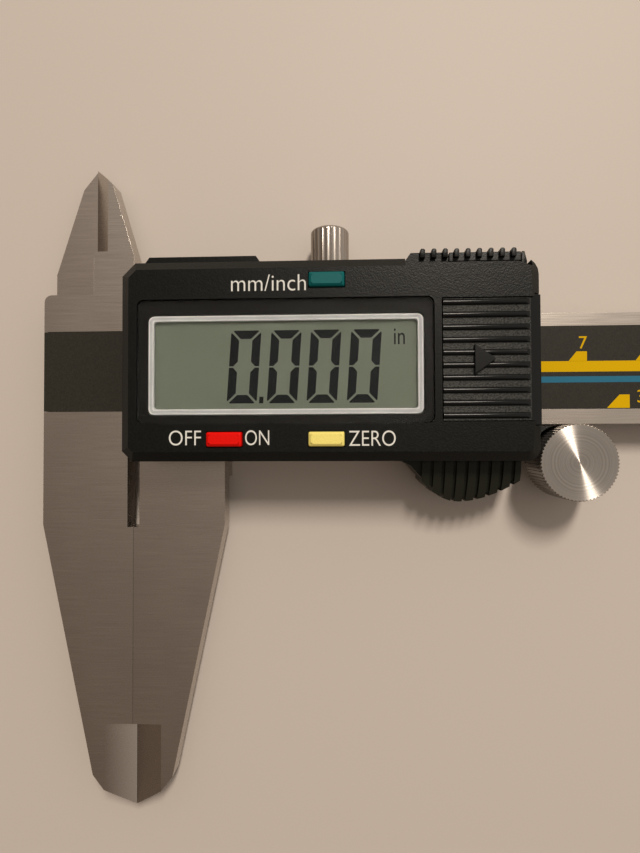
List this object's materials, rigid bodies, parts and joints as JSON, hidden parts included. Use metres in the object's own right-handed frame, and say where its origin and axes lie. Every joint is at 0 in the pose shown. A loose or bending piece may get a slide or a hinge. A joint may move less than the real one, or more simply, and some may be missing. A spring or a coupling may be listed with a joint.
{
  "type": "digital caliper",
  "caption": "Digital caliper with long steel beam, outside jaws, inside blades, display head with battery cover, lock screw, thumb rest, thumb roller and depth rod.",
  "frame": {"origin": "centre of the overall box on the plane of the slider's back, which the caliper lies on", "axes": "+X along the beam to its far end, +Y towards the inside blades, +Z out of the display's front"},
  "size_m": [0.4012, 0.1022, 0.0162],
  "materials": {
    "steel": "finely brushed, warm grey",
    "nickel": "turned and plated",
    "spring_steel": "plain rolled",
    "brass": "turned",
    "black_plastic": "fine moulded grain",
    "label_film": "printed film",
    "silver_plastic": "silver coated",
    "clear_plastic": "clear, glossy",
    "display_glass": "grey-green reflective display",
    "rubber": "conductive rubber strip",
    "board": "green solder mask",
    "potting": "black resin",
    "fibreglass": "laminate",
    "teal_plastic": "moulded",
    "red_plastic": "moulded",
    "cream_plastic": "moulded"
  },
  "bodies": {
    "beam_body": {"beam": "steel", "scale_stator": "fibreglass", "scale_label": "label_film", "end_stop_plate": "steel", "end_stop_screw_1": "steel", "end_stop_screw_2": "steel"},
    "slider": {"slider_frame": "steel", "depth_rod": "steel", "rod_clamp": "steel", "roller_axle": "steel", "case_screw_1": "steel", "case_screw_2": "steel", "case_screw_3": "steel", "case_screw_4": "steel", "gib_screw_1": "steel", "gib_screw_2": "steel", "rod_clamp_screw_1": "steel", "rod_clamp_screw_2": "steel", "bracket_screw": "steel", "gib_strip": "brass", "battery": "spring_steel", "battery_spring": "spring_steel", "battery_contact": "spring_steel", "unit_dome": "spring_steel", "power_dome": "spring_steel", "zero_dome": "spring_steel", "front_case": "black_plastic", "roller_bracket": "black_plastic", "port_contacts": "black_plastic", "display_bezel": "silver_plastic", "display_window": "clear_plastic", "display_glass": "display_glass", "zebra_strip_low": "rubber", "zebra_strip_high": "rubber", "circuit_board": "board", "chip_cover": "potting"},
    "thumb_roller": {"thumb_roller": "nickel"},
    "lock_screw": {"lock_screw": "nickel"},
    "unit_button": {"unit_button": "teal_plastic"},
    "power_button": {"power_button": "red_plastic"},
    "zero_button": {"zero_button": "cream_plastic"},
    "battery_cover": {"battery_cover": "black_plastic"},
    "port_cover": {"port_cover": "black_plastic"}
  },
  "joints": [
    {"name": "slider_travel", "type": "slide", "parent": "beam_body", "child": "slider", "axis": [1, 0, 0], "range_m": [0, 0.3]},
    {"name": "thumb_roller_turn", "type": "hinge", "parent": "slider", "child": "thumb_roller", "pos_m": [-0.1189, 0.00314, 0.00723], "axis": [0, 0, 1], "continuous": true},
    {"name": "lock_screw_turn", "type": "hinge", "parent": "slider", "child": "lock_screw", "pos_m": [-0.1551, 0.0336, 0.00448], "axis": [0, 1, 0], "range_deg": [-90, 360]},
    {"name": "unit_button_press", "type": "slide", "parent": "slider", "child": "unit_button", "axis": [0, 0, -1], "range_m": [0, 0.0004], "stiffness_N_per_m": 400},
    {"name": "power_button_press", "type": "slide", "parent": "slider", "child": "power_button", "axis": [0, 0, -1], "range_m": [0, 0.0004], "stiffness_N_per_m": 400},
    {"name": "zero_button_press", "type": "slide", "parent": "slider", "child": "zero_button", "axis": [0, 0, -1], "range_m": [0, 0.0004], "stiffness_N_per_m": 400},
    {"name": "battery_cover_slide", "type": "slide", "parent": "slider", "child": "battery_cover", "axis": [1, 0, 0], "range_m": [0, 0.016]},
    {"name": "port_cover_pull", "type": "slide", "parent": "slider", "child": "port_cover", "axis": [0, 1, 0], "range_m": [0, 0.006]}
  ],
  "couplings": [
    {"joint": "thumb_roller_turn", "follows": "slider_travel", "rad_per_m": 173.6}
  ]
}
